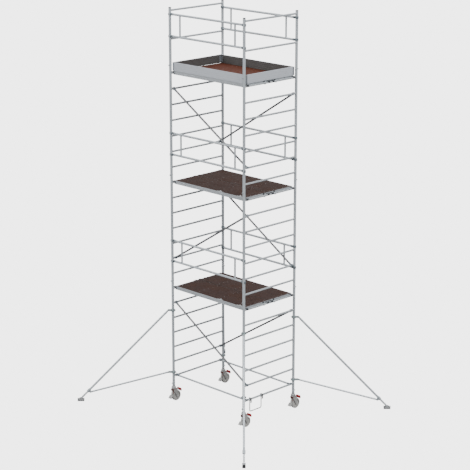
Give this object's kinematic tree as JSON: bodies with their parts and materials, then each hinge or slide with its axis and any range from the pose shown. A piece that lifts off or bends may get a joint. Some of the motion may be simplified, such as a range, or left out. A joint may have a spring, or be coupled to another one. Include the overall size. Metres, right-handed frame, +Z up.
{
  "type": "mobile tower scaffold",
  "caption": "Mobile aluminium scaffold tower: ladder frames, guardrails, braces, trapdoor decks and toe boards on braked swivel castors, steadied by telescopic outriggers.",
  "frame": {"origin": "on the ground, in the middle between the four uprights", "axes": "+X along the decks and guardrails, +Y along the rungs of the ladder frames, +Z up"},
  "size_m": [4.4318, 3.8868, 7.388],
  "materials": {
    "frame_aluminium": "satin",
    "tube_aluminium": "satin",
    "deck_aluminium": "satin",
    "toe_aluminium": "satin",
    "zinc_steel": "zinc plated",
    "hinge_steel": "zinc plated",
    "claw_grey": "cast, matt",
    "hook_dark": "satin",
    "fork_steel": "satin",
    "plywood": "phenolic film, matt",
    "brake_red": "semi gloss",
    "wheel_core": "moulded",
    "tyre_tread": "matt",
    "foot_rubber": "matt",
    "cap_black": "moulded",
    "clip_plastic": "moulded"
  },
  "bodies": {
    "tower": {"base_frame_left": "frame_aluminium", "base_frame_right": "frame_aluminium", "brace_claws": "claw_grey", "castor_stems": "zinc_steel", "deck_frames": "deck_aluminium", "deck_hooks": "hook_dark", "deck_panels": "plywood", "entry_step": "zinc_steel", "frame_spigots": "zinc_steel", "guardrail_claws": "claw_grey", "hatch_hinges": "hinge_steel", "horizontal_braces": "tube_aluminium", "locking_clips": "zinc_steel", "lower_diagonals": "tube_aluminium", "lower_guardrails": "tube_aluminium", "middle_diagonals": "tube_aluminium", "middle_frame_left": "frame_aluminium", "middle_frame_right": "frame_aluminium", "middle_guardrails": "tube_aluminium", "toe_board_clips": "clip_plastic", "toe_boards": "toe_aluminium", "top_frame_left": "frame_aluminium", "top_frame_right": "frame_aluminium", "upper_diagonals": "tube_aluminium", "upper_frame_left": "frame_aluminium", "upper_frame_right": "frame_aluminium", "upper_guardrails": "tube_aluminium", "upright_caps": "cap_black", "wind_locks": "hook_dark"},
    "hatch_lower": {"lower_hatch": "plywood"},
    "hatch_middle": {"middle_hatch": "plywood"},
    "hatch_upper": {"upper_hatch": "plywood"},
    "castor_front_left": {"castor_fork_front_left": "fork_steel"},
    "wheel_front_left": {"castor_wheel_front_left": "wheel_core", "castor_tyre_front_left": "tyre_tread"},
    "brake_front_left": {"castor_brake_front_left": "brake_red"},
    "castor_front_right": {"castor_fork_front_right": "fork_steel"},
    "wheel_front_right": {"castor_wheel_front_right": "wheel_core", "castor_tyre_front_right": "tyre_tread"},
    "brake_front_right": {"castor_brake_front_right": "brake_red"},
    "castor_back_right": {"castor_fork_back_right": "fork_steel"},
    "wheel_back_right": {"castor_wheel_back_right": "wheel_core", "castor_tyre_back_right": "tyre_tread"},
    "brake_back_right": {"castor_brake_back_right": "brake_red"},
    "castor_back_left": {"castor_fork_back_left": "fork_steel"},
    "wheel_back_left": {"castor_wheel_back_left": "wheel_core", "castor_tyre_back_left": "tyre_tread"},
    "brake_back_left": {"castor_brake_back_left": "brake_red"},
    "outrigger_front_left": {"outrigger_arm_front_left": "tube_aluminium"},
    "outrigger_leg_front_left": {"outrigger_inner_tube_front_left": "tube_aluminium"},
    "outrigger_pad_front_left": {"outrigger_foot_front_left": "foot_rubber"},
    "outrigger_front_right": {"outrigger_arm_front_right": "tube_aluminium"},
    "outrigger_leg_front_right": {"outrigger_inner_tube_front_right": "tube_aluminium"},
    "outrigger_pad_front_right": {"outrigger_foot_front_right": "foot_rubber"},
    "outrigger_back_right": {"outrigger_arm_back_right": "tube_aluminium"},
    "outrigger_leg_back_right": {"outrigger_inner_tube_back_right": "tube_aluminium"},
    "outrigger_pad_back_right": {"outrigger_foot_back_right": "foot_rubber"},
    "outrigger_back_left": {"outrigger_arm_back_left": "tube_aluminium"},
    "outrigger_leg_back_left": {"outrigger_inner_tube_back_left": "tube_aluminium"},
    "outrigger_pad_back_left": {"outrigger_foot_back_left": "foot_rubber"}
  },
  "joints": [
    {"name": "hatch_lower_lift", "type": "hinge", "parent": "tower", "child": "hatch_lower", "pos_m": [0.508, -0.562, 2.25779], "axis": [1, 0, 0], "range_deg": [0, 95]},
    {"name": "hatch_middle_lift", "type": "hinge", "parent": "tower", "child": "hatch_middle", "pos_m": [0.508, -0.562, 4.25779], "axis": [1, 0, 0], "range_deg": [0, 95]},
    {"name": "hatch_upper_lift", "type": "hinge", "parent": "tower", "child": "hatch_upper", "pos_m": [0.508, -0.562, 6.25779], "axis": [1, 0, 0], "range_deg": [0, 95]},
    {"name": "castor_swivel_front_left", "type": "hinge", "parent": "tower", "child": "castor_front_left", "pos_m": [-0.9205, -0.648, 0.27], "axis": [0, 0, 1], "continuous": true},
    {"name": "wheel_roll_front_left", "type": "hinge", "parent": "castor_front_left", "child": "wheel_front_left", "pos_m": [-0.9205, -0.59, 0.1], "axis": [1, 0, 0], "continuous": true},
    {"name": "brake_release_front_left", "type": "hinge", "parent": "castor_front_left", "child": "brake_front_left", "pos_m": [-0.9205, -0.628, 0.224], "axis": [-1, 0, 0], "range_deg": [0, 5]},
    {"name": "castor_swivel_front_right", "type": "hinge", "parent": "tower", "child": "castor_front_right", "pos_m": [0.9205, -0.648, 0.27], "axis": [0, 0, 1], "continuous": true},
    {"name": "wheel_roll_front_right", "type": "hinge", "parent": "castor_front_right", "child": "wheel_front_right", "pos_m": [0.9205, -0.59, 0.1], "axis": [1, 0, 0], "continuous": true},
    {"name": "brake_release_front_right", "type": "hinge", "parent": "castor_front_right", "child": "brake_front_right", "pos_m": [0.9205, -0.628, 0.224], "axis": [-1, 0, 0], "range_deg": [0, 5]},
    {"name": "castor_swivel_back_right", "type": "hinge", "parent": "tower", "child": "castor_back_right", "pos_m": [0.9205, 0.648, 0.27], "axis": [0, 0, 1], "continuous": true},
    {"name": "wheel_roll_back_right", "type": "hinge", "parent": "castor_back_right", "child": "wheel_back_right", "pos_m": [0.9205, 0.706, 0.1], "axis": [1, 0, 0], "continuous": true},
    {"name": "brake_release_back_right", "type": "hinge", "parent": "castor_back_right", "child": "brake_back_right", "pos_m": [0.9205, 0.668, 0.224], "axis": [-1, 0, 0], "range_deg": [0, 5]},
    {"name": "castor_swivel_back_left", "type": "hinge", "parent": "tower", "child": "castor_back_left", "pos_m": [-0.9205, 0.648, 0.27], "axis": [0, 0, 1], "continuous": true},
    {"name": "wheel_roll_back_left", "type": "hinge", "parent": "castor_back_left", "child": "wheel_back_left", "pos_m": [-0.9205, 0.706, 0.1], "axis": [1, 0, 0], "continuous": true},
    {"name": "brake_release_back_left", "type": "hinge", "parent": "castor_back_left", "child": "brake_back_left", "pos_m": [-0.9205, 0.668, 0.224], "axis": [-1, 0, 0], "range_deg": [0, 5]},
    {"name": "outrigger_swing_front_left", "type": "hinge", "parent": "tower", "child": "outrigger_front_left", "pos_m": [-0.9205, -0.648, 1.79], "axis": [0, 0, 1], "range_deg": [-45, 45]},
    {"name": "outrigger_extend_front_left", "type": "slide", "parent": "outrigger_front_left", "child": "outrigger_leg_front_left", "axis": [-0.4876, -0.4876, -0.7243], "range_m": [-0.08, 0.4]},
    {"name": "outrigger_foot_tilt_front_left", "type": "hinge", "parent": "outrigger_leg_front_left", "child": "outrigger_pad_front_left", "pos_m": [-2.15228, -1.87978, 0.048], "axis": [0.7071, -0.7071, 0], "range_deg": [-20, 20]},
    {"name": "outrigger_swing_front_right", "type": "hinge", "parent": "tower", "child": "outrigger_front_right", "pos_m": [0.9205, -0.648, 1.79], "axis": [0, 0, 1], "range_deg": [-45, 45]},
    {"name": "outrigger_extend_front_right", "type": "slide", "parent": "outrigger_front_right", "child": "outrigger_leg_front_right", "axis": [0.4876, -0.4876, -0.7243], "range_m": [-0.08, 0.4]},
    {"name": "outrigger_foot_tilt_front_right", "type": "hinge", "parent": "outrigger_leg_front_right", "child": "outrigger_pad_front_right", "pos_m": [2.15228, -1.87978, 0.048], "axis": [0.7071, 0.7071, 0], "range_deg": [-20, 20]},
    {"name": "outrigger_swing_back_right", "type": "hinge", "parent": "tower", "child": "outrigger_back_right", "pos_m": [0.9205, 0.648, 1.79], "axis": [0, 0, 1], "range_deg": [-45, 45]},
    {"name": "outrigger_extend_back_right", "type": "slide", "parent": "outrigger_back_right", "child": "outrigger_leg_back_right", "axis": [0.4876, 0.4876, -0.7243], "range_m": [-0.08, 0.4]},
    {"name": "outrigger_foot_tilt_back_right", "type": "hinge", "parent": "outrigger_leg_back_right", "child": "outrigger_pad_back_right", "pos_m": [2.15228, 1.87978, 0.048], "axis": [-0.7071, 0.7071, 0], "range_deg": [-20, 20]},
    {"name": "outrigger_swing_back_left", "type": "hinge", "parent": "tower", "child": "outrigger_back_left", "pos_m": [-0.9205, 0.648, 1.79], "axis": [0, 0, 1], "range_deg": [-45, 45]},
    {"name": "outrigger_extend_back_left", "type": "slide", "parent": "outrigger_back_left", "child": "outrigger_leg_back_left", "axis": [-0.4876, 0.4876, -0.7243], "range_m": [-0.08, 0.4]},
    {"name": "outrigger_foot_tilt_back_left", "type": "hinge", "parent": "outrigger_leg_back_left", "child": "outrigger_pad_back_left", "pos_m": [-2.15228, 1.87978, 0.048], "axis": [-0.7071, -0.7071, 0], "range_deg": [-20, 20]}
  ]
}
